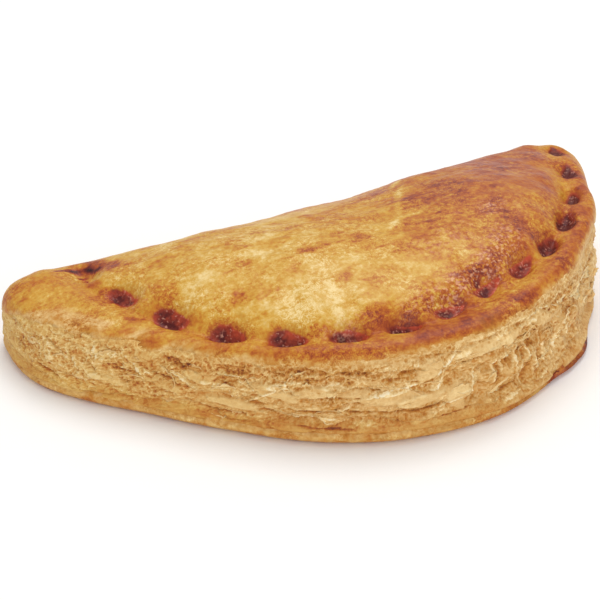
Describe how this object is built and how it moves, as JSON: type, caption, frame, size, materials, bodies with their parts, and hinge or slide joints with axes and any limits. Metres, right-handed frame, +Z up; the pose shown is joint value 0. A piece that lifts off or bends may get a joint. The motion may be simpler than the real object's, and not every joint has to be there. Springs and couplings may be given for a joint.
{
  "type": "puff pastry empanada",
  "caption": "Half-moon puff pastry turnover with a straight fold at the back and a curved edge, pressed shut by crimps, whose flaky layers stand open.",
  "frame": {"origin": "on the surface the pastry rests on, under the middle of its bounding box", "axes": "+X along the fold, toward the taller end; +Y from the cut edge to the fold; +Z up"},
  "size_m": [0.1698, 0.095, 0.0345],
  "materials": {
    "baked_crust": "egg-glazed golden brown crust"
  },
  "bodies": {
    "root": {"pastry": "baked_crust"}
  },
  "joints": []
}
